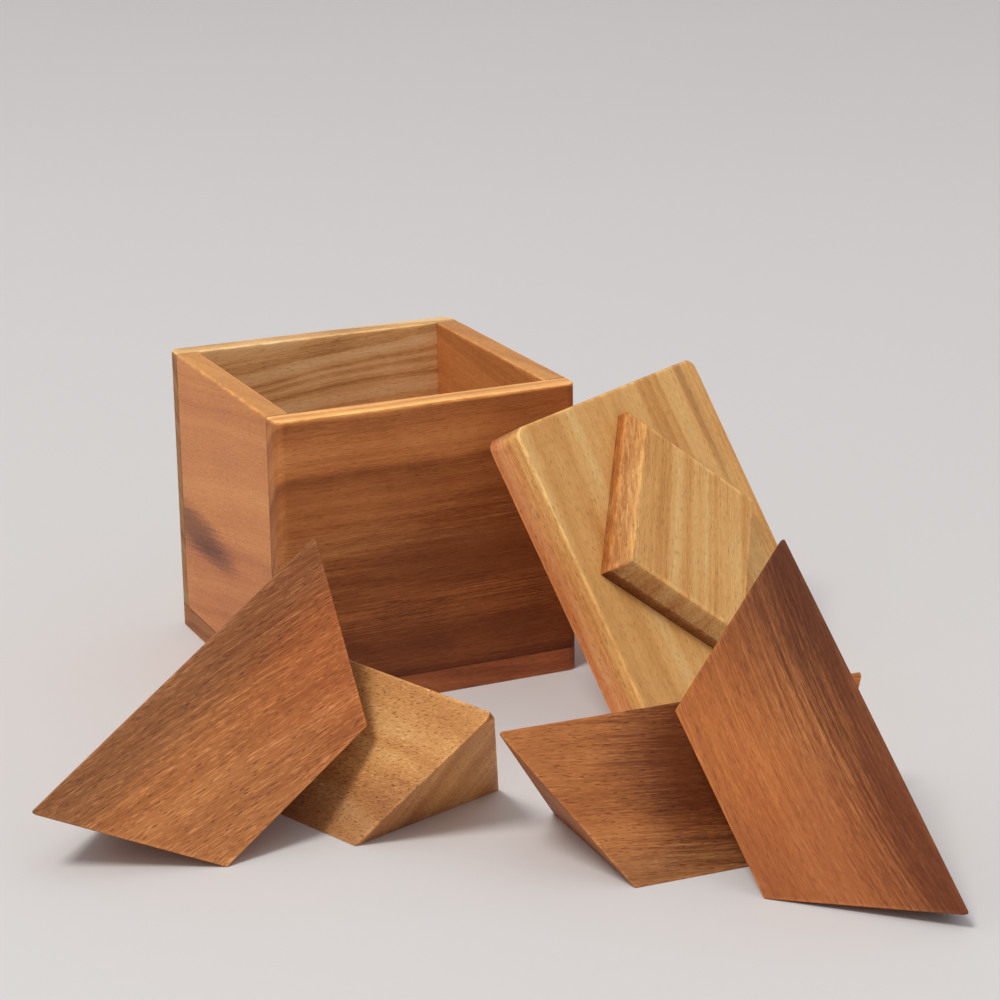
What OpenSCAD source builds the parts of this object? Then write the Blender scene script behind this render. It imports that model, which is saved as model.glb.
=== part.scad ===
// Wooden puzzle box: an open box, its lift-off lid and four equal puzzle pieces, laid out on a table.
// The origin is the middle of the underside of the box. +Z is up and -Y is the front of the box.

/* [Box] */
// Outside width and depth of the box
box_w = 90; // [60:1:130]
// Height of the box without its lid
box_h = 85.5; // [70:0.5:130]
// Thickness of the four walls
wall_t = 6.8; // [4:0.2:9]
// Thickness of the board under the walls
base_t = 7; // [4:0.2:10]
// Radius of the upright outside corners
box_corner_r = 3; // [0.5:0.1:3.5]

/* [Lid] */
// Thickness of the lid
lid_t = 11.2; // [6:0.2:15]
// Radius of the four corners of the lid
lid_corner_r = 3.4; // [1:0.1:6]
// How far the block stands out under the lid
block_t = 7.4; // [5:0.2:10]
// Height of the upright sides of the block, under its bevel
block_side_t = 3.2; // [1:0.2:4]
// Gap between each corner of the block and the wall that it fits inside
block_gap = 0.4; // [0.2:0.1:1]

/* [Puzzle pieces] */
// Gap between the packed pieces and each wall
pack_gap = 2.8; // [1:0.1:4]

/* [Lid leaning on the box] */
// Angle of the lid from upright
lid_lean = 29.8; // [20:0.1:40]
// Angle of the lid's lower edge to the front of the box
lid_turn = 30.3; // [10:0.1:60]
// How far the lid's middle is to the right of the box corner it leans on
lid_shift = 3.4; // [-10:0.1:10]

/* [Pieces on the table] */
// Gap between pieces that lean on one another
lean_gap = 0.2; // [0.1:0.1:0.5]
// How far the back tip of piece b is to the left of the box corner
piece_b_left = 16; // [5:0.5:40]
// How far the back tip of piece b is in front of the box
piece_b_front = 8.5; // [3:0.5:40]
// Direction of the ridge of piece b
piece_b_turn = -70.5; // [-90:0.1:-50]
// How far the sloping piece a is turned from the box
piece_a_turn = 12; // [-10:0.1:20]
// Angle of the square face of piece a to the table
piece_a_lean = 32.2; // [28:0.1:40]
// How far from the back tip of piece b the corner of piece a rests on it
piece_a_from_tip = 18; // [14:0.5:25]
// How far the left tip of piece c is to the left of the front tip of piece b
piece_c_left = 4.6; // [-10:0.1:6]
// How far the left tip of piece c is in front of the front tip of piece b
piece_c_front = 11.3; // [10:0.1:30]
// Direction of the ridge of piece c
piece_c_turn = -2.2; // [-20:0.1:20]
// Direction in which piece d leans
piece_d_turn = 103; // [90:0.1:110]
// Angle of the square face of piece d to the table
piece_d_lean = 49.4; // [46:0.1:52]
// How far from the right tip of piece c the side of piece d rests on its ridge
piece_d_from_tip = 9.5; // [5:0.5:20]

/* [Hidden] */
$fn = 48;

// The space inside the walls, which the block under the lid and the packed pieces both fit
inside_w = box_w - 2 * wall_t;
// The block stands turned by 45 degrees, so its diagonal fits the inside
block_w = (inside_w - 2 * block_gap) / sqrt(2);
// The packed pieces have their square faces turned by 45 degrees against the walls
edge = (inside_w - 2 * pack_gap) / sqrt(2);
// Height of a piece's ridge over its square face, as in a regular tetrahedron cut in half
ridge_h = edge / sqrt(2);

// A unit vector in the table's plane
function heading(angle) = [cos(angle), sin(angle), 0];

// Piece b lies with its back tip in front of the box
piece_b_tip = [-box_w / 2 - piece_b_left, -box_w / 2 - piece_b_front, 0];
piece_b_place = piece_b_tip + edge * heading(piece_b_turn);

// Piece a stands on one edge of its square face, and one corner of that face rests on piece b
piece_a_rest_h = edge * sin(piece_a_lean);
piece_a_rest_out = edge / 2 * (1 - piece_a_rest_h / ridge_h) + lean_gap;
piece_a_rest = piece_b_tip + piece_a_from_tip * heading(piece_b_turn)
             - piece_a_rest_out * heading(piece_b_turn + 90);
piece_a_place = piece_a_rest - edge * cos(piece_a_lean) * heading(piece_a_turn)
              - edge / 2 * heading(piece_a_turn + 90);

// The lid stands on its lower back edge, and rests on an upright corner of the box at its own upper
// edge, or at the rim where the box is too low for that
lid_rest_h = min(box_h, box_w * cos(lid_lean));
corner_middle = [box_w / 2 - box_corner_r, -box_w / 2 + box_corner_r, 0];
lid_foot = corner_middle + lid_shift * heading(lid_turn)
         - (box_corner_r + lean_gap + lid_rest_h * tan(lid_lean)) * heading(lid_turn + 90);

// Piece c lies in front of the lid, with its left tip near the front tip of piece b
piece_b_front_tip = piece_b_tip + 2 * edge * heading(piece_b_turn);
piece_c_place = piece_b_front_tip - [piece_c_left, piece_c_front, 0] + edge * heading(piece_c_turn);

// Piece d stands on one edge of its square face, and that face rests on the ridge of piece c
piece_d_rest = piece_c_place + (edge - piece_d_from_tip) * heading(piece_c_turn)
             - lean_gap * heading(piece_c_turn + 90);
piece_d_place = piece_d_rest + edge / 2 * heading(piece_d_turn + 90)
              - ridge_h / tan(piece_d_lean) * heading(piece_d_turn);

// A square centred on the origin with round corners
module rounded_square(width, corner_r) {
    flat_w = width - 2 * corner_r;
    square([width, flat_w], center = true);
    square([flat_w, width], center = true);
    for (x = [-1, 1], y = [-1, 1])
        translate([x * flat_w / 2, y * flat_w / 2]) circle(r = corner_r);
}

// The part of the box's outline that lies inside a rectangle, as an upright wall
module wall(low, high) {
    translate([0, 0, base_t])
        linear_extrude(box_h - base_t)
            intersection() {
                rounded_square(box_w, box_corner_r);
                translate(low) square(high - low);
            }
}

module base_board() {
    color("sienna") linear_extrude(base_t) rounded_square(box_w, box_corner_r);
}

module front_wall() {
    color("saddlebrown") wall([-box_w / 2, -box_w / 2], [box_w / 2, -inside_w / 2]);
}

module back_wall() {
    color("peru") wall([-box_w / 2, inside_w / 2], [box_w / 2, box_w / 2]);
}

module left_wall() {
    color("chocolate") wall([-box_w / 2, -inside_w / 2], [-inside_w / 2, inside_w / 2]);
}

module right_wall() {
    color("chocolate") wall([inside_w / 2, -inside_w / 2], [box_w / 2, inside_w / 2]);
}

// Stands a shape on the table where the lid leans: its upper side faces the box and its foot is at z = 0
module leaning_lid() {
    translate(lid_foot)
        rotate([0, 0, lid_turn])
            rotate([90 - lid_lean, 0, 0])
                translate([0, box_w / 2, 0])
                    children();
}

module lid_board() {
    color("burlywood") leaning_lid() linear_extrude(lid_t) rounded_square(box_w, lid_corner_r);
}

// A square block with upright sides and a bevel of 45 degrees, its wide face on the lid
module block() {
    wide = block_w / 2;
    narrow = wide - (block_t - block_side_t);
    corners = [[-1, -1], [1, -1], [1, 1], [-1, 1]];
    levels = [[wide, 0], [wide, block_side_t], [narrow, block_t]];
    polyhedron(
        points = [for (level = levels, c = corners) [level.x * c.x, level.x * c.y, level.y]],
        faces = [[0, 1, 2, 3], [11, 10, 9, 8],
                 for (k = [0, 4], i = [0 : 3], j = (i + 1) % 4) [k + j, k + i, k + 4 + i, k + 4 + j]]);
}

module lid_block() {
    color("tan") leaning_lid() translate([0, 0, lid_t]) rotate(45) block();
}

// Half a regular tetrahedron: a square face at z = 0 and a ridge twice as long as the square's side over it
module half_tetrahedron() {
    half = edge / 2;
    polyhedron(
        points = [[-half, -half, 0], [half, -half, 0], [half, half, 0], [-half, half, 0],
                  [-edge, 0, ridge_h], [edge, 0, ridge_h]],
        faces = [[0, 1, 2, 3], [1, 0, 4, 5], [3, 2, 5, 4], [2, 1, 5], [0, 3, 4]]);
}

// A piece that lies on its square face
module lying_piece(place, turn) {
    translate(place) rotate(turn) half_tetrahedron();
}

// A piece that stands on one edge of its square face and leans over by an angle
module leaning_piece(place, turn, lean) {
    translate(place) rotate(turn) rotate([0, -lean, 0]) translate([edge / 2, 0, 0]) half_tetrahedron();
}

module puzzle_piece_a() {
    color("sandybrown") leaning_piece(piece_a_place, piece_a_turn, piece_a_lean);
}

module puzzle_piece_b() {
    color("navajowhite") lying_piece(piece_b_place, piece_b_turn);
}

module puzzle_piece_c() {
    color("peru") lying_piece(piece_c_place, piece_c_turn);
}

module puzzle_piece_d() {
    color("coral") leaning_piece(piece_d_place, piece_d_turn, piece_d_lean);
}

base_board();
front_wall();
back_wall();
left_wall();
right_wall();
lid_board();
lid_block();
puzzle_piece_a();
puzzle_piece_b();
puzzle_piece_c();
puzzle_piece_d();
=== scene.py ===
"""Looks, light and camera of the wooden puzzle box, its lid and its four puzzle pieces."""
import math

import bmesh
import bpy
from mathutils import Matrix, Vector, noise
from mathutils.bvhtree import BVHTree


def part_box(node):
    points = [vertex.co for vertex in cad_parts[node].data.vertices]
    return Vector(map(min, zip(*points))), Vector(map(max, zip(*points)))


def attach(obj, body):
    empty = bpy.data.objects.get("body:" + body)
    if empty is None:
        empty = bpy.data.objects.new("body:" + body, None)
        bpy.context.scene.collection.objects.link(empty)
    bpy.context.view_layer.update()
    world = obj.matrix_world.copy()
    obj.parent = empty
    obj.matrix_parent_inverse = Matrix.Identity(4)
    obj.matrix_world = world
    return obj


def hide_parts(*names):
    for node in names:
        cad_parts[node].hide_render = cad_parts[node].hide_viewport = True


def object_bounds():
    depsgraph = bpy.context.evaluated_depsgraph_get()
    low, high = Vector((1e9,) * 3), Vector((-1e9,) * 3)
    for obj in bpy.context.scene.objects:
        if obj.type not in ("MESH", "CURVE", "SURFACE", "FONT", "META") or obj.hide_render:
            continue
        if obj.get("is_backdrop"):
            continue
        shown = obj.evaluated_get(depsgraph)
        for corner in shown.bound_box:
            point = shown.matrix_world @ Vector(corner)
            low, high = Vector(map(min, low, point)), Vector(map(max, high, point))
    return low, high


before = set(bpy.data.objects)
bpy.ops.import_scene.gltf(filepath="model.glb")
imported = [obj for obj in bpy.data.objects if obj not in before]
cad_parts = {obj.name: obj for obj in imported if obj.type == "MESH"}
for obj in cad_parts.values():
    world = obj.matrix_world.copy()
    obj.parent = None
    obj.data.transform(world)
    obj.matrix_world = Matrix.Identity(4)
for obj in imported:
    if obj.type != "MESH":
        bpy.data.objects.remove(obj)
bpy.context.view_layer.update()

MM = 0.001
X, Y, Z = Vector((1, 0, 0)), Vector((0, 1, 0)), Vector((0, 0, 1))


# ---- Directions read from the frame's own meshes

WELD = 0.001 * MM
FLAT_ANGLE = math.radians(1)


def solid(node):
    """A CAD node's mesh as a bmesh, with the triangles of each flat face joined."""
    bm = bmesh.new()
    bm.from_mesh(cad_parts[node].data)
    bmesh.ops.remove_doubles(bm, verts=bm.verts, dist=WELD)
    bmesh.ops.dissolve_limit(bm, angle_limit=FLAT_ANGLE, verts=bm.verts, edges=bm.edges)
    bmesh.ops.recalc_face_normals(bm, faces=bm.faces)
    return bm


def lid_axes():
    """Right, up and underside directions of the leaning lid, whose largest front face is its underside."""
    bm = solid("lid_board")
    faces = [f for f in bm.faces if f.normal.y < 0]
    face = max(faces, key=lambda f: f.calc_area())
    normal = face.normal.copy()
    bm.free()
    up = (Z - normal.z * normal).normalized()
    return up.cross(normal), up, normal


def piece_axes(node):
    """Ridge, cross and height directions of a puzzle piece, and its two tips, which end its longest edge."""
    bm = solid(node)
    ridge = max(bm.edges, key=lambda e: e.calc_length())
    along = (ridge.verts[1].co - ridge.verts[0].co).normalized()
    along = along if along.x > 0 else -along
    ends = set(ridge.verts)
    base = [v.co for v in bm.verts if v not in ends]
    middle = sum(base, Vector()) / len(base)
    height = ((ridge.verts[0].co + ridge.verts[1].co) / 2 - middle).normalized()
    tips = sorted((v.co.copy() for v in ends), key=lambda c: c.dot(along))
    bm.free()
    return along, height.cross(along), height, tips


# ---- Meshes: every piece is its CAD solid with sanded, slightly uneven edges

ROUND = 0.75 * MM
SEAM_ROUND = 0.12 * MM
ROUND_STEPS = 3
CUT_STEP = 6 * MM
CUT_SNAP = 1e-7
# How far the edge marks reach: paler worn edges with painted highlight, and painted shade in the joints
EDGE_MARK_REACH = 1.5 * MM
EDGE_RING_WELD = 0.002 * MM
TOUCH = 0.05 * MM
LARGE_FACE = 60 * MM * MM
SHARP_TURN = math.radians(12)
# Least cosines between two normals of one plane, and between two edges of one straight line
SAME_WAY = 0.999
STRAIGHT = 0.99999
# A free edge's share of ROUND, how far that varies along the edge, and the variation's scale per metre
FREE_SHARE = 0.6
UNEVEN = 0.5
UNEVEN_SCALE = 60


def cut(bm, point, normal):
    geometry = bm.verts[:] + bm.edges[:] + bm.faces[:]
    return bmesh.ops.bisect_plane(bm, geom=geometry, dist=CUT_SNAP, plane_co=point, plane_no=normal)


def blunt(bm, tip, inward, depth):
    """Takes a sharp tip off by a plane and closes the cut."""
    geometry = bm.verts[:] + bm.edges[:] + bm.faces[:]
    made = bmesh.ops.bisect_plane(bm, geom=geometry, dist=CUT_SNAP, plane_co=tip + depth * inward,
                                  plane_no=-inward, clear_outer=True)
    rim = [e for e in made["geom_cut"] if isinstance(e, bmesh.types.BMEdge)]
    bmesh.ops.contextual_create(bm, geom=rim)


def slice_up(bm, axes):
    """Cuts a solid across each of its axes at even steps, so that its edges can vary along their length."""
    for axis in axes:
        reach = [v.co.dot(axis) for v in bm.verts]
        low, high = min(reach), max(reach)
        count = max(1, round((high - low) / CUT_STEP))
        for i in range(1, count):
            cut(bm, (low + (high - low) * i / count) * axis, axis)


def flat_planes(bm):
    """One (normal, distance) for each large flat face."""
    planes = []
    for f in bm.faces:
        d = f.normal.dot(f.calc_center_median())
        known = any(f.normal.dot(n) > SAME_WAY and abs(d - e) < TOUCH for n, e in planes)
        if not known and f.calc_area() > LARGE_FACE:
            planes.append((f.normal.copy(), d))
    return planes


def edge_kind(edge, neighbours):
    """0 for an edge within a smooth face, 1 for a free edge, 2 for one glued against a neighbour."""
    if len(edge.link_faces) != 2 or edge.calc_face_angle() < SHARP_TURN:
        return 0
    middle = (edge.verts[0].co + edge.verts[1].co) / 2
    for tree in neighbours:
        if tree.find_nearest(middle, TOUCH)[0] is not None:
            return 2
    return 1


def inside_straight(edge):
    """True if the edge goes straight on at both of its ends, so that its rounding may vary."""
    along = (edge.verts[1].co - edge.verts[0].co).normalized()
    for v in edge.verts:
        others = [e for e in v.link_edges if e is not edge]
        turns = [abs((e.verts[1].co - e.verts[0].co).normalized().dot(along)) for e in others]
        if max(turns) < STRAIGHT:
            return False
    return True


def near_lines(point, lines):
    """1 on the nearest line, falling to 0 at the reach of the edge marks, and 0 where there are no lines."""
    best = EDGE_MARK_REACH
    for a, b in lines:
        along = b - a
        t = max(0.0, min(1.0, (point - a).dot(along) / along.length_squared))
        best = min(best, (point - a - t * along).length)
    return 1 - best / EDGE_MARK_REACH


def surface_tree(node):
    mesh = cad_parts[node].data
    return BVHTree.FromPolygons([v.co for v in mesh.vertices], [p.vertices for p in mesh.polygons])


def weigh_edges(bm, trees, softness, seed):
    """Writes how far each edge is rounded, and returns the ends of the free edges and of the glued ones."""
    weight = bm.edges.layers.float.new("bevel_weight_edge")
    free, glued = [], []
    for e in bm.edges:
        kind = edge_kind(e, trees)
        ends = (e.verts[0].co.copy(), e.verts[1].co.copy())
        if kind == 1:
            e[weight] = FREE_SHARE * softness
            if inside_straight(e):
                middle = (ends[0] + ends[1]) / 2
                e[weight] *= 1 + UNEVEN * noise.noise(middle * UNEVEN_SCALE + Vector((seed, 0, 0)))
            free.append(ends)
        elif kind == 2:
            e[weight] = SEAM_ROUND / ROUND
            glued.append(ends)
    return free, glued


def make_piece(node, body, axes, neighbours=(), pre_cuts=(), blunts=(), softness=1.0, seed=0.0):
    """A visible piece that stands for a CAD node: its solid, cut, rounded and marked for paler worn edges
    with painted highlight and for painted shade in its joints.
    """
    bm = solid(node)
    planes = flat_planes(bm)
    for point, normal in pre_cuts:
        cut(bm, point, normal)
    for tip, inward, depth in blunts:
        blunt(bm, tip, inward, depth)
    slice_up(bm, axes)
    free, glued = weigh_edges(bm, [surface_tree(n) for n in neighbours], softness, seed)
    mesh = bpy.data.meshes.new(node + "_wood")
    bm.to_mesh(mesh)
    bm.free()
    piece = bpy.data.objects.new(node + "_wood", mesh)
    bpy.context.scene.collection.objects.link(piece)
    round_edges(piece)
    finish_mesh(piece, planes, free, glued)
    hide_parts(node)
    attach(piece, body)
    return piece


def round_edges(piece):
    """Rounds the edges by their weights and keeps the result as the piece's own mesh."""
    bevel = piece.modifiers.new("round_edges", "BEVEL")
    bevel.limit_method = "WEIGHT"
    bevel.offset_type = "OFFSET"
    bevel.width = ROUND
    bevel.segments = ROUND_STEPS
    bevel.use_clamp_overlap = False
    bevel.loop_slide = True
    graph = bpy.context.evaluated_depsgraph_get()
    rounded = bpy.data.meshes.new_from_object(piece.evaluated_get(graph))
    piece.modifiers.clear()
    piece.data = rounded


def finish_mesh(piece, planes, free, glued):
    """Adds the rings of points that carry the edge marks beside each edge, and writes the marks for paler
    worn edges with painted highlight and for painted shade in the joints.
    """
    bm = bmesh.new()
    bm.from_mesh(piece.data)
    for normal, distance in planes:
        cut(bm, (distance - EDGE_MARK_REACH) * normal, normal)
    bmesh.ops.remove_doubles(bm, verts=bm.verts, dist=EDGE_RING_WELD)
    wear_and_highlight = bm.verts.layers.float.new("wear_and_highlight")
    joint_shade = bm.verts.layers.float.new("joint_shade")
    for v in bm.verts:
        v[wear_and_highlight] = near_lines(v.co, free)
        v[joint_shade] = near_lines(v.co, glued)
    for f in bm.faces:
        f.smooth = True
    bm.to_mesh(piece.data)
    bm.free()
    even = piece.modifiers.new("flat_faces", "WEIGHTED_NORMAL")
    even.weight = 100
    even.keep_sharp = False


# ---- Wood: one solid texture per piece, in millimetres along and across its own grain

# Sizes along the grain and across it, in millimetres
FIBRE = (24, 0.6, 0.6)
MICRO = (2.5, 0.2, 0.2)
CLOUD = (26, 14, 14)
SLOW_WANDER = (150, 40, 40)
QUICK_WANDER = (55, 18, 18)
PORE_PATCH = (30, 9, 9)
PALE_DASH = (4.2, 0.28, 0.28)
FINE_PORE = (2.4, 0.3, 0.3)
RUB_AND_HIGHLIGHT_PATCH = (5, 2.5, 2.5)
RING_WIDTH = 2.1
BAND_WIDTH = 9
# Large pores to a millimetre, along the grain and across it
PORE_CELLS = (0.21, 1.05, 1.05)
# How far the growth rings wander, in millimetres
SLOW_REACH = 22
QUICK_REACH = 7
# Shifts in millimetres, so that noises of the same place differ. The first two are times a piece's seed
PIECE_SHIFT = (17, 7, 11)
RING_SHIFT = 31
QUICK_SHIFT = (40, 90, 10)
DASH_SHIFT = (70, 20, 50)
FINE_SHIFT = (9, 5, 3)
# Where a soft threshold starts and where it is full
STAIN_FADE = (0.35, 1.25)
PATCH_FADE = (0.38, 0.62)
FLECK_FADE = (0.12, 0.42)
FLECK_CHANCE = (0.2, 0.6)
DASH_FADE = (0.57, 0.66)
PORE_FADE = (0.07, 0.2)
PORE_CHANCE = (0.4, 0.55)
FINE_FADE = (0.6, 0.7)
END_FADE = (0.5, 0.95)
RUB_AND_HIGHLIGHT_FADE = (0.2, 1.0)
RUB_AND_HIGHLIGHT_PATCH_FADE = (0.3, 0.7)
JOINT_SHADE_FADE = (0.7, 1.0)
# How much each feature changes the tone, with 0.5 in the middle between dark and light
MIDDLE_TONE = 0.5
BROAD_TONE = 0.9
RING_TONE = 0.55
FIBRE_TONE = 0.32
MICRO_TONE = 0.5
CLOUD_TONE = 0.5
TONE_PLACES = (0.1, 0.5, 0.9)
# How much the fibres break up the edges of a stain, and how strong the smaller marks are
STAIN_FIBRE = 1.1
STAIN_MICRO = 0.55
DASH_STRENGTH = 0.8
FINE_STRENGTH = 0.7
RUB_AND_HIGHLIGHT_STRENGTH = 0.9
JOINT_SHADE_STRENGTH = 0.7
# Colours that multiply the wood's own
END_TINT = (0.42, 0.34, 0.31)
FLECK_TINT = (1.6, 1.8, 2.0)
PORE_TINT = (0.3, 0.22, 0.2)
# The next tint pales the edges, partly as wear and partly as painted highlight
RUB_AND_HIGHLIGHT_TINT = (1.5, 1.58, 1.6)
# The next tint is painted shade along the joints between boards
JOINT_SHADE_TINT = (0.34, 0.27, 0.24)
# Roughness, gloss and bump
BASE_ROUGHNESS = 0.47
FIBRE_ROUGHNESS = 0.25
CLOUD_ROUGHNESS = 0.12
OPEN_ROUGHNESS = 0.2
SPECULAR = 0.25
FIBRE_RISE = 0.5
MICRO_RISE = 0.6
PORE_DROP = 0.8
BUMP_STRENGTH = 0.4
BUMP_DEPTH = 0.2 * MM


class Graph:
    """A short way to write a material's nodes."""

    def __init__(self, name):
        self.material = bpy.data.materials.new(name)
        self.material.use_nodes = True
        self.tree = self.material.node_tree
        self.tree.nodes.clear()

    def add(self, kind, inputs=(), **settings):
        """A node with its settings, and its inputs linked or set."""
        made = self.tree.nodes.new(kind)
        for key, value in settings.items():
            setattr(made, key, value)
        for key, value in dict(inputs).items():
            if isinstance(value, bpy.types.NodeSocket):
                self.tree.links.new(value, made.inputs[key])
            else:
                made.inputs[key].default_value = value
        return made

    def math(self, operation, a, b=0.0, clamp=False):
        return self.add("ShaderNodeMath", {0: a, 1: b}, operation=operation, use_clamp=clamp).outputs[0]

    def vector(self, operation, a, b=(0, 0, 0)):
        made = self.add("ShaderNodeVectorMath", {0: a, 1: b}, operation=operation)
        return made.outputs["Value" if operation in ("LENGTH", "DOT_PRODUCT") else "Vector"]

    def step(self, value, low, high):
        """0 below low, 1 above high and smooth between."""
        made = self.add("ShaderNodeMapRange", {0: value, 1: low, 2: high}, interpolation_type="SMOOTHSTEP")
        return made.outputs[0]

    def noise(self, vector, size, detail, roughness=0.5):
        """Noise whose grains have that size along and across the wood, in millimetres."""
        scaled = self.vector("MULTIPLY", vector, tuple(1 / s for s in size))
        inputs = {"Vector": scaled, "Scale": 1.0, "Detail": detail, "Roughness": roughness}
        return self.add("ShaderNodeTexNoise", inputs).outputs["Fac"]

    def bands(self, value, width, detail):
        """Noise along one value, as bands of about that width."""
        inputs = {"W": self.math("DIVIDE", value, width), "Scale": 1.0, "Detail": detail, "Roughness": 0.55}
        return self.add("ShaderNodeTexNoise", inputs, noise_dimensions="1D").outputs["Fac"]

    def mix(self, factor, a, b, blend="MIX"):
        made = self.tree.nodes.new("ShaderNodeMix")
        made.data_type = "RGBA"
        made.blend_type = blend
        for key, value in ((0, factor), (6, a), (7, b)):
            if isinstance(value, bpy.types.NodeSocket):
                self.tree.links.new(value, made.inputs[key])
            else:
                made.inputs[key].default_value = (*value, 1.0) if isinstance(value, tuple) else value
        return made.outputs[2]

    def tint(self, factor, colour, by):
        """The colour multiplied by another as far as the factor says."""
        return self.mix(factor, colour, self.mix(1.0, colour, by, "MULTIPLY"))

    def ramp(self, value, places, colours):
        """A colour that changes with the value: one colour for each place on the way."""
        made = self.add("ShaderNodeValToRGB", {0: value})
        elements = made.color_ramp.elements
        while len(elements) < len(places):
            elements.new(0.5)
        for element, place, colour in zip(elements, places, colours):
            element.position = place
            element.color = (*colour, 1.0)
        return made.outputs["Color"]

    def object_place(self):
        return self.add("ShaderNodeTexCoord").outputs["Object"]

    def surface(self, shader_inputs):
        """Ends the graph in one shader, and returns the material."""
        shader = self.add("ShaderNodeBsdfPrincipled", shader_inputs)
        self.add("ShaderNodeOutputMaterial", {0: shader.outputs[0]})
        return self.material


def wood(name, axes, centre, tones, heart, figure, seed, skew=0, stains_and_painted_light=(), pores=0.4, flecks=0.2,
         contrast=1.0, bend=0.0, end_dark=0.6):
    """Wood from dark, middle and light tones, with growth rings, fibres, pores, end grain, stains, painted
    shade and highlight, paler worn edges partly painted as highlight, and painted shade in the joints.
    """
    g = Graph(name)
    whole, local = grain_places(g, axes, centre, skew)
    point = bent(g, g.vector("ADD", local, tuple(seed * s for s in PIECE_SHIFT)), local, bend)
    radius = ring_radius(g, local, heart, grain_shift(g, point, figure), bend)
    fibre = g.noise(point, FIBRE, 3, 0.6)
    micro = g.noise(point, MICRO, 2, 0.6)
    cloud = g.noise(point, CLOUD, 2)
    tone = total(g, ring_tone(g, radius, seed, contrast), (fibre, FIBRE_TONE), (micro, MICRO_TONE),
                 (cloud, CLOUD_TONE * contrast))
    colour = g.ramp(tone, TONE_PLACES, tones)
    colour = add_stains_and_painted_light(g, colour, whole, fibre, micro, stains_and_painted_light)
    pore, colour = add_pores(g, colour, point, pores, flecks)
    turn = math.radians(skew)
    end = end_grain(g, math.cos(turn) * axes[0] + math.sin(turn) * axes[1])
    colour = g.tint(g.math("MULTIPLY", end, end_dark), colour, END_TINT)
    rough = total(g, BASE_ROUGHNESS, (fibre, FIBRE_ROUGHNESS), (cloud, CLOUD_ROUGHNESS))
    open_grain = g.math("MULTIPLY", g.math("MAXIMUM", end, pore), OPEN_ROUGHNESS)
    rough = g.math("ADD", rough, open_grain, clamp=True)
    return g.surface({"Base Color": add_edges(g, colour, point), "Roughness": rough,
                      "Normal": grain_bump(g, fibre, micro, pore), "Specular IOR Level": SPECULAR})


def grain_places(g, axes, centre, skew):
    """Two places in millimetres from the centre: along the piece's own axes, and along its skewed grain."""
    turn = Matrix(axes).transposed().to_euler()
    whole = g.add("ShaderNodeMapping", {"Vector": g.object_place(), "Location": centre, "Rotation": turn,
                                        "Scale": (MM, MM, MM)}, vector_type="TEXTURE").outputs[0]
    local = g.add("ShaderNodeMapping", {"Vector": whole, "Rotation": (0, 0, -math.radians(skew))},
                  vector_type="POINT").outputs[0]
    return whole, local


def total(g, start, *parts):
    """start plus each noise, centred on 0, times its amount."""
    value = start
    for noise_value, amount in parts:
        value = g.math("ADD", g.math("MULTIPLY", g.math("SUBTRACT", noise_value, 0.5), amount), value)
    return value


def bent(g, point, local, bend):
    """The point with its grain curved: it moves sideways with the square of the distance along."""
    if not bend:
        return point
    along = g.add("ShaderNodeSeparateXYZ", {0: local}).outputs[0]
    aside = g.math("MULTIPLY", g.math("MULTIPLY", along, along), bend)
    return g.vector("SUBTRACT", point, g.add("ShaderNodeCombineXYZ", {1: aside}).outputs[0])


def grain_shift(g, point, figure):
    """How far the growth rings wander, in millimetres."""
    slow = g.noise(point, SLOW_WANDER, 2)
    quick = g.noise(g.vector("ADD", point, QUICK_SHIFT), QUICK_WANDER, 2)
    return total(g, 0.0, (slow, SLOW_REACH * figure), (quick, QUICK_REACH * figure))


def ring_radius(g, local, heart, shift, bend):
    """Distance from the heart of the tree, which lies beside the piece."""
    flat = g.vector("MULTIPLY", g.vector("SUBTRACT", bent(g, local, local, bend), (0, *heart)), (0, 1, 1))
    return g.math("ADD", g.vector("LENGTH", flat), shift)


def ring_tone(g, radius, seed, contrast):
    """Narrow growth rings within broad bands."""
    place = g.math("ADD", radius, seed * RING_SHIFT)
    rings = g.bands(place, RING_WIDTH, 3)
    broad = g.bands(place, BAND_WIDTH, 2)
    return total(g, MIDDLE_TONE, (broad, BROAD_TONE * contrast), (rings, RING_TONE * contrast))


def add_stains_and_painted_light(g, colour, whole, fibre, micro, stains_and_painted_light):
    """Heartwood streaks and smudges, and painted shade and highlight: soft ellipsoids with edges broken up
    along the grain.
    """
    for place, reach, tint, strength in stains_and_painted_light:
        scale = tuple(1 / r for r in reach)
        away = g.vector("LENGTH", g.vector("MULTIPLY", g.vector("SUBTRACT", whole, place), scale))
        away = total(g, away, (fibre, STAIN_FIBRE), (micro, STAIN_MICRO))
        amount = g.math("SUBTRACT", 1.0, g.step(away, *STAIN_FADE))
        colour = g.tint(g.math("MULTIPLY", amount, strength), colour, tint)
    return colour


def add_pores(g, colour, point, pores, flecks):
    """Short dark vessels, each inside a longer pale dash, and finer ones between them."""
    scaled = g.vector("MULTIPLY", point, PORE_CELLS)
    cells = g.add("ShaderNodeTexVoronoi", {"Vector": scaled, "Scale": 1.0})
    chance = g.add("ShaderNodeSeparateColor", {0: cells.outputs["Color"]})
    distance = cells.outputs["Distance"]
    pale = pale_dashes(g, point, distance, chance)
    colour = g.tint(g.math("MULTIPLY", pale, flecks), colour, FLECK_TINT)
    pore = g.math("SUBTRACT", 1.0, g.step(distance, *PORE_FADE))
    pore = g.math("MULTIPLY", pore, g.step(chance.outputs[0], *PORE_CHANCE))
    fine = g.step(g.noise(g.vector("ADD", point, FINE_SHIFT), FINE_PORE, 1), *FINE_FADE)
    pore = g.math("MAXIMUM", pore, g.math("MULTIPLY", fine, FINE_STRENGTH))
    return pore, g.tint(g.math("MULTIPLY", pore, pores), colour, PORE_TINT)


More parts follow.
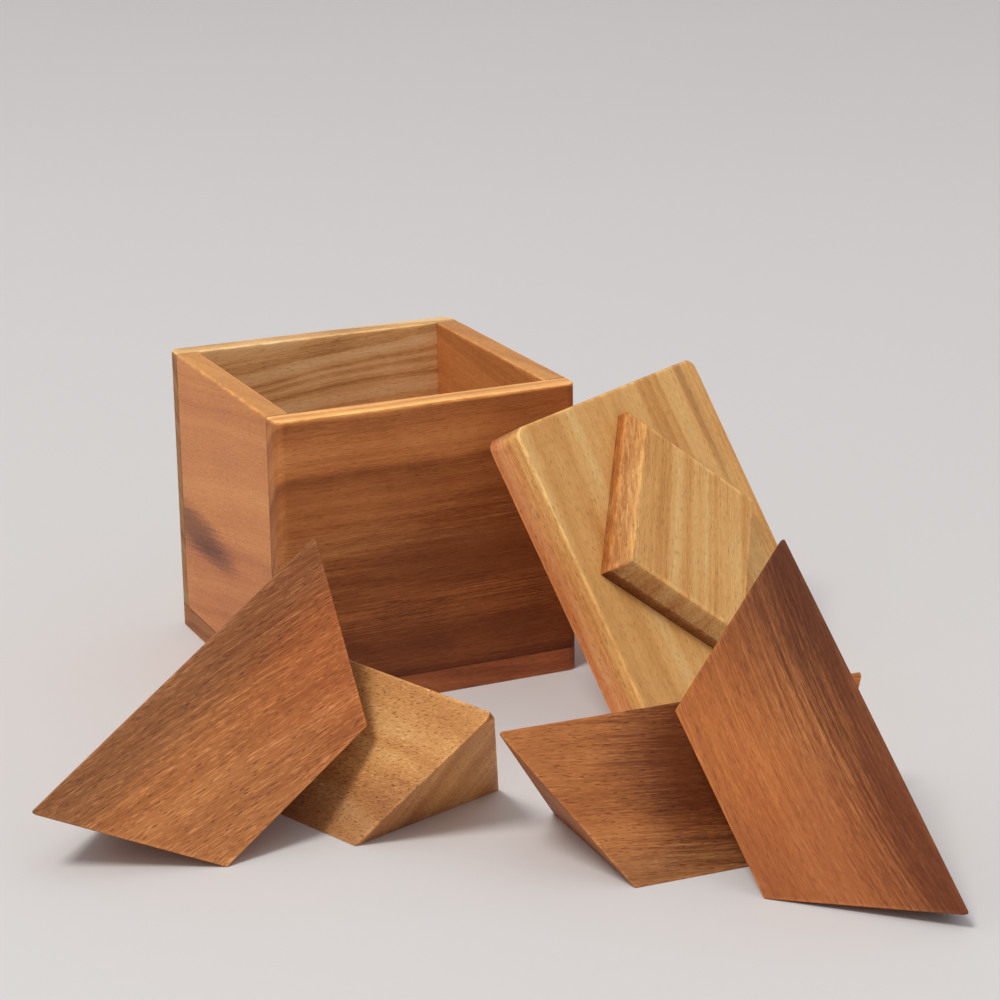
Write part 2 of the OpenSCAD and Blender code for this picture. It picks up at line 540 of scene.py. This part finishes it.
def pale_dashes(g, point, distance, chance):
    """The pale dashes: around some of the large pores, in patches, and loose ones everywhere."""
    patch = g.step(g.noise(point, PORE_PATCH, 1), *PATCH_FADE)
    pale = g.math("SUBTRACT", 1.0, g.step(distance, *FLECK_FADE))
    pale = g.math("MULTIPLY", g.math("MULTIPLY", pale, patch), g.step(chance.outputs[1], *FLECK_CHANCE))
    dash = g.step(g.noise(g.vector("ADD", point, DASH_SHIFT), PALE_DASH, 1), *DASH_FADE)
    return g.math("MAXIMUM", pale, g.math("MULTIPLY", dash, DASH_STRENGTH))


def end_grain(g, grain):
    """1 on faces that cut across the grain."""
    normal = g.add("ShaderNodeTexCoord").outputs["Normal"]
    return g.step(g.math("ABSOLUTE", g.vector("DOT_PRODUCT", normal, tuple(grain))), *END_FADE)


def add_edges(g, colour, point):
    """Edges paler in patches, partly from wear and partly as painted highlight, and painted shade along the
    joints.
    """
    wear_and_highlight = g.add("ShaderNodeAttribute", attribute_name="wear_and_highlight").outputs["Fac"]
    rub_and_highlight_patches = g.step(g.noise(point, RUB_AND_HIGHLIGHT_PATCH, 3), *RUB_AND_HIGHLIGHT_PATCH_FADE)
    # Paler edges, partly from wear and partly as painted highlight
    rub_and_highlight = g.math("MULTIPLY", g.math("MULTIPLY", g.step(wear_and_highlight, *RUB_AND_HIGHLIGHT_FADE), rub_and_highlight_patches), RUB_AND_HIGHLIGHT_STRENGTH)
    colour = g.tint(rub_and_highlight, colour, RUB_AND_HIGHLIGHT_TINT)
    # Painted shade along the joints
    joint_shade = g.add("ShaderNodeAttribute", attribute_name="joint_shade").outputs["Fac"]
    return g.tint(g.math("MULTIPLY", g.step(joint_shade, *JOINT_SHADE_FADE), JOINT_SHADE_STRENGTH), colour, JOINT_SHADE_TINT)


def grain_bump(g, fibre, micro, pore):
    """Raised fibres and sunken pores."""
    height = total(g, 0.0, (fibre, FIBRE_RISE), (micro, MICRO_RISE))
    height = g.math("SUBTRACT", height, g.math("MULTIPLY", pore, PORE_DROP))
    bump = g.add("ShaderNodeBump", {"Strength": BUMP_STRENGTH, "Distance": BUMP_DEPTH, "Height": height})
    return bump.outputs[0]


def finish_with(piece, material):
    piece.data.materials.clear()
    piece.data.materials.append(material)


def middle_of(node):
    low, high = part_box(node)
    return (low + high) / 2


# ---- The woods, each with a dark, a middle and a light tone. A mark, a stain and painted light alike, is its place, reach, tint and strength

REDDISH = ((0.28, 0.095, 0.033), (0.56, 0.22, 0.078), (0.68, 0.32, 0.125))
ORANGE = ((0.42, 0.125, 0.033), (0.655, 0.238, 0.063), (0.79, 0.36, 0.11))
BROWN = ((0.22, 0.06, 0.016), (0.48, 0.163, 0.046), (0.66, 0.275, 0.088))
TAN = ((0.5, 0.24, 0.085), (0.9, 0.51, 0.2), (0.97, 0.68, 0.36))
PALE = ((0.66, 0.28, 0.07), (0.88, 0.46, 0.145), (0.96, 0.61, 0.24))
HONEY = ((0.44, 0.17, 0.05), (0.66, 0.31, 0.10), (0.8, 0.47, 0.18))
DUSK = (0.42, 0.31, 0.28)
# A strong painted highlight for the top of the front wall
STRONG_RIM_HIGHLIGHT = (1.9, 2.5, 2.6)
# A reach that is past the end of any piece
ALL = 300
# Painted highlight along the top of a wall
WALL_TOP_HIGHLIGHT = ((0, 40, 0), (ALL, 1.6, ALL), (1.1, 1.3, 1.3), 0.9)


# ---- The box. A mark's place, for stains and painted light alike, is in millimetres from the middle of its board: along a wall, up and through
# it, and on the base board to the right, back and up

BOX_LOOKS = {
    "base_board": dict(
        axes=(X, Y, Z), skew=2, tones=REDDISH, heart=(20, -60), seed=1.3, figure=0.5,
        stains_and_painted_light=[((0, -45, 3), (120, 12, 30), (0.8, 0.62, 0.6), 1.0)]),
    "front_wall": dict(
        axes=(X, Z, -Y), skew=1, tones=BROWN, heart=(-30, 70), seed=2.1, figure=0.4, end_dark=0.3,
        stains_and_painted_light=[((20, -6, 4), (70, 15, 20), DUSK, 0.75),
                ((5, -33, 4), (90, 15, 20), DUSK, 0.7),
                ((38, 12, 4), (30, 12, 20), DUSK, 0.4),
                ((-20, 30, 4), (70, 16, 20), (1.25, 1.3, 1.3), 1.0),
                # Painted shade along the foot of the wall, where it meets the base board
                ((0, -39.5, 0), (ALL, 3, ALL), (0.62, 0.5, 0.5), 0.9),
                # Painted highlight along the top of the wall
                ((0, 40, 0), (ALL, 1.7, ALL), STRONG_RIM_HIGHLIGHT, 0.9)]),
    "back_wall": dict(
        axes=(X, Z, -Y), skew=4, tones=TAN, heart=(70, 30), seed=3.7, figure=0.6, contrast=1.6,
        end_dark=1.0),
    "left_wall": dict(
        axes=(Y, Z, X), skew=-10, tones=ORANGE, heart=(80, 40), seed=4.4, contrast=0.6, figure=0.5,
        stains_and_painted_light=[((26, -12, -3), (32, 7, 12), (0.42, 0.34, 0.34), 1.0),
                ((10, -15, -3), (20, 4, 12), (0.7, 0.62, 0.62), 0.8),
                ((0, -24, -3), (60, 20, 12), (0.82, 0.72, 0.74), 0.8),
                # Painted highlight along the top of the wall
                WALL_TOP_HIGHLIGHT]),
    "right_wall": dict(
        axes=(Y, Z, X), skew=4, tones=ORANGE, heart=(-70, 50), seed=5.9, contrast=0.6, figure=0.5,
        # Painted highlight along the top of the wall
        stains_and_painted_light=[WALL_TOP_HIGHLIGHT]),
}


def build_box():
    inner_left, inner_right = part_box("left_wall")[1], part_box("right_wall")[0]
    for node, look in BOX_LOOKS.items():
        others = [n for n in BOX_LOOKS if n != node]
        cuts = ((inner_left, X), (inner_right, X)) if node in ("front_wall", "back_wall") else ()
        piece = make_piece(node, "box", (X, Y, Z), neighbours=others, pre_cuts=cuts, seed=look["seed"])
        finish_with(piece, wood(node + "_wood", centre=middle_of(node), **look))


# ---- The lid. A mark's place, for stains and painted shade alike, is in millimetres from the middle: on the board up, to the left and out of
# the underside, and on the block along two of its sides and out of the underside

LID_LOOK = dict(tones=PALE, contrast=1.1, figure=0.3)
STREAK = ((38, -36, 6), (40, 2.4, 12), (0.62, 0.48, 0.42), 0.8)
LID_SIDES = ((0, 0, -6), (ALL, ALL, 9), (0.82, 0.56, 0.58), 1.0)
# Painted shade on the block, darkest at its foot against the board
BLOCK_FOOT_SHADE = ((0, 0, -8), (ALL, ALL, 11), (0.5, 0.36, 0.28), 1.0)
# Painted shade on one bevelled flank of the block
BLOCK_FLANK_SHADE = ((0, 30, 0), (ALL, 9, ALL), (0.68, 0.5, 0.38), 1.0)


def build_lid_board():
    right, up, face = lid_axes()
    board = make_piece("lid_board", "lid", (right, up, face), neighbours=["lid_block"], softness=1.3, seed=6)
    material = wood("lid_board_wood", axes=(up, -right, face), centre=middle_of("lid_board"), heart=(60, 80),
                    seed=6.2, pores=0.65, stains_and_painted_light=[STREAK, LID_SIDES], **LID_LOOK)
    finish_with(board, material)


def build_lid_block():
    right, up, face = lid_axes()
    edge_a, edge_b = (right + up).normalized(), (up - right).normalized()
    axes = (edge_a, edge_b, face)
    block = make_piece("lid_block", "lid", axes, neighbours=["lid_board"], seed=7)
    material = wood("lid_block_wood", axes=axes, centre=middle_of("lid_block"), heart=(90, 50), seed=7.5,
                    # The block's foot and one flank carry painted shade
                    skew=6, pores=0.6, end_dark=1.0, stains_and_painted_light=[BLOCK_FOOT_SHADE, BLOCK_FLANK_SHADE], **LID_LOOK)
    finish_with(block, material)


# ---- The puzzle pieces. A mark's place, for stains and painted shadow alike, is in millimetres from the middle of the piece's ridge: along its
# grain, down its seen slope and inwards

PIECE_LOOKS = {
    "puzzle_piece_a": dict(
        skew=11, tones=BROWN, heart=(80, 50), seed=8.2, figure=0.3, pores=0.85, flecks=0.95, contrast=0.4,
        stains_and_painted_light=[((0, 0, 0), (ALL, 16, 60), (0.62, 0.66, 0.78), 1.0),
                ((0, 45, 0), (120, 26, 60), (1.1, 1.2, 1.35), 0.8),
                ((48, 26, 0), (48, 34, 60), (0.88, 0.7, 0.62), 1.0)]),
    "puzzle_piece_b": dict(
        dip=-20, tip_cut=1.6, tones=HONEY, heart=(60, -60), seed=9.1, figure=0.4, pores=1.0, flecks=0.45,
        end_dark=0.45,
        # Painted shadow of piece a on the left end of piece b
        stains_and_painted_light=[((-50, 20, 0), (50, 60, 60), (0.66, 0.6, 0.66), 0.9),
                ((0, 42, 0), (ALL, 13, 60), (0.66, 0.57, 0.62), 0.9)]),
    "puzzle_piece_c": dict(
        skew=6, tones=BROWN, heart=(70, 60), seed=10.7, figure=0.3, pores=0.8, flecks=0.35, contrast=0.5,
        # Partly darker heartwood and partly the painted shadow of piece d
        stains_and_painted_light=[((1, 16, 0), (25, 30, 60), (0.36, 0.26, 0.25), 1.0),
                ((0, 42, 0), (120, 9, 30), (0.8, 0.92, 1.1), 0.9)]),
    "puzzle_piece_d": dict(
        tones=BROWN, heart=(-60, 70), seed=11.3, figure=0.3, pores=0.45, flecks=0.3, contrast=0.35,
        bend=-0.0015,
        stains_and_painted_light=[((-50, 8, 0), (44, 36, 60), (0.62, 0.56, 0.56), 1.0),
                ((0, -3, 0), (ALL, 19, 60), (0.42, 0.35, 0.37), 1.0),
                ((35, 30, 0), (40, 60, 60), (0.86, 0.74, 0.74), 0.9),
                ((-20, 34, 0), (45, 15, 60), (1.08, 0.98, 0.85), 0.9)]),
}


def build_puzzle_piece(node, dip=0, tip_cut=0.8, **look):
    """dip is how far the grain points down from the ridge, in degrees, and tip_cut is in millimetres."""
    along, across, height, tips = piece_axes(node)
    blunts = [(tips[0], along, tip_cut * MM), (tips[1], -along, tip_cut * MM)]
    body = "piece_" + node[-1]
    piece = make_piece(node, body, (along, across, height), blunts=blunts, seed=look["seed"])
    grain = Matrix.Rotation(math.radians(dip), 3, across) @ along
    slope = -across - math.sqrt(2) * height
    slope = (slope - slope.dot(grain) * grain).normalized()
    material = wood(node + "_wood", axes=(grain, slope, grain.cross(slope)), centre=(tips[0] + tips[1]) / 2,
                    **look)
    finish_with(piece, material)


build_box()
build_lid_board()
build_lid_block()
for puzzle_piece, piece_look in PIECE_LOOKS.items():
    build_puzzle_piece(puzzle_piece, **piece_look)


# ---- Floor, light and camera

PAPER_DARK = (0.735, 0.71, 0.70)
PAPER_LIGHT = (0.765, 0.742, 0.733)
# Size of the paper's cloudy spots, in metres
PAPER_SPOT = (0.5, 0.5, 0.5)
PAPER_ROUGHNESS = 0.75
PAPER_SPECULAR = 0.2
FLOOR_RADIUS = 4.0
FLOOR_CURVE = 1.5
WALL_HEIGHT = 3.0
FLOOR_SIDES = 96
FLAT_RINGS = 8
CURVE_RINGS = 10
# The key light's place from the middle of the object, in metres
KEY_PLACE = (-1.75, -0.75, 3.2)
KEY_SIZE = 1.1
KEY_POWER = 70
KEY_COLOUR = (1.0, 0.985, 0.96)
SKY_COLOUR = (0.97, 0.98, 1.0, 1)
SKY_POWER = 0.55
# The camera's place from the middle of the box's foot, in widths of the box
CAMERA_PLACE = (-3.28066, -8.29189, 3.26528)
CAMERA_YAW = math.radians(65.728)
CAMERA_PITCH = math.radians(17.285)
CAMERA_ROLL = math.radians(-0.816)
CAMERA_LENS = 103.49
CAMERA_SENSOR = 36


def floor_material():
    g = Graph("floor_paper")
    spots = g.noise(g.object_place(), PAPER_SPOT, 3)
    colour = g.mix(spots, PAPER_DARK, PAPER_LIGHT)
    return g.surface({"Base Color": colour, "Roughness": PAPER_ROUGHNESS,
                      "Specular IOR Level": PAPER_SPECULAR})


def floor_outline():
    """The floor's (radius, height) from near its middle, out, up the curve and up the wall."""
    flat = [(FLOOR_RADIUS * i / FLAT_RINGS, 0.0) for i in range(1, FLAT_RINGS + 1)]
    angles = [math.radians(90 / CURVE_RINGS * i) for i in range(1, CURVE_RINGS + 1)]
    curve = [(FLOOR_RADIUS + FLOOR_CURVE * math.sin(a), FLOOR_CURVE * (1 - math.cos(a))) for a in angles]
    return flat + curve + [(FLOOR_RADIUS + FLOOR_CURVE, WALL_HEIGHT)]


def floor_ring(bm, radius, height):
    angles = [2 * math.pi * i / FLOOR_SIDES for i in range(FLOOR_SIDES)]
    return [bm.verts.new((radius * math.cos(a), radius * math.sin(a), height)) for a in angles]


def add_floor():
    """A round pale floor that curves up into a wall on every side."""
    bm = bmesh.new()
    centre = bm.verts.new((0, 0, 0))
    rings = [floor_ring(bm, radius, height) for radius, height in floor_outline()]
    for i in range(FLOOR_SIDES):
        j = (i + 1) % FLOOR_SIDES
        bm.faces.new((centre, rings[0][i], rings[0][j]))
        for inner, outer in zip(rings, rings[1:]):
            bm.faces.new((inner[i], outer[i], outer[j], inner[j]))
    for f in bm.faces:
        f.smooth = True
    mesh = bpy.data.meshes.new("floor")
    bm.to_mesh(mesh)
    bm.free()
    mesh.materials.append(floor_material())
    floor = bpy.data.objects.new("floor", mesh)
    bpy.context.scene.collection.objects.link(floor)
    floor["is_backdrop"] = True


def add_key_light():
    """A soft round light above the object, to its left and in front."""
    low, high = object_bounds()
    target = (low + high) / 2
    place = target + Vector(KEY_PLACE)
    light = bpy.data.lights.new("key", "AREA")
    light.shape = "DISK"
    light.size = KEY_SIZE
    light.energy = KEY_POWER
    light.color = KEY_COLOUR
    lamp = bpy.data.objects.new("key", light)
    lamp.location = place
    lamp.rotation_euler = (target - place).to_track_quat("-Z", "Y").to_euler()
    bpy.context.scene.collection.objects.link(lamp)


def add_sky():
    """An even pale light from every side."""
    world = bpy.data.worlds.new("studio")
    world.use_nodes = True
    background = world.node_tree.nodes["Background"]
    background.inputs[0].default_value = SKY_COLOUR
    background.inputs[1].default_value = SKY_POWER
    bpy.context.scene.world = world


def camera_turn():
    """The camera's rotation, from its yaw, pitch and roll."""
    level = math.cos(CAMERA_PITCH)
    forward = Vector((math.cos(CAMERA_YAW) * level, math.sin(CAMERA_YAW) * level, -math.sin(CAMERA_PITCH)))
    right = Vector((math.sin(CAMERA_YAW), -math.cos(CAMERA_YAW), 0))
    up = right.cross(forward)
    side = math.cos(CAMERA_ROLL) * right + math.sin(CAMERA_ROLL) * up
    top = math.cos(CAMERA_ROLL) * up - math.sin(CAMERA_ROLL) * right
    return Matrix((side, top, -forward)).transposed().to_4x4()


def add_camera():
    """The camera stands in front of the box, to its left, and looks down on it."""
    low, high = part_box("front_wall")
    place = (high.x - low.x) * Vector(CAMERA_PLACE)
    camera = bpy.data.objects.new("camera", bpy.data.cameras.new("camera"))
    camera.matrix_world = Matrix.Translation(place) @ camera_turn()
    camera.data.lens = CAMERA_LENS
    camera.data.sensor_width = CAMERA_SENSOR
    bpy.context.scene.collection.objects.link(camera)
    bpy.context.scene.camera = camera


add_floor()
add_key_light()
add_sky()
add_camera()
bpy.context.scene.view_settings.view_transform = "Standard"
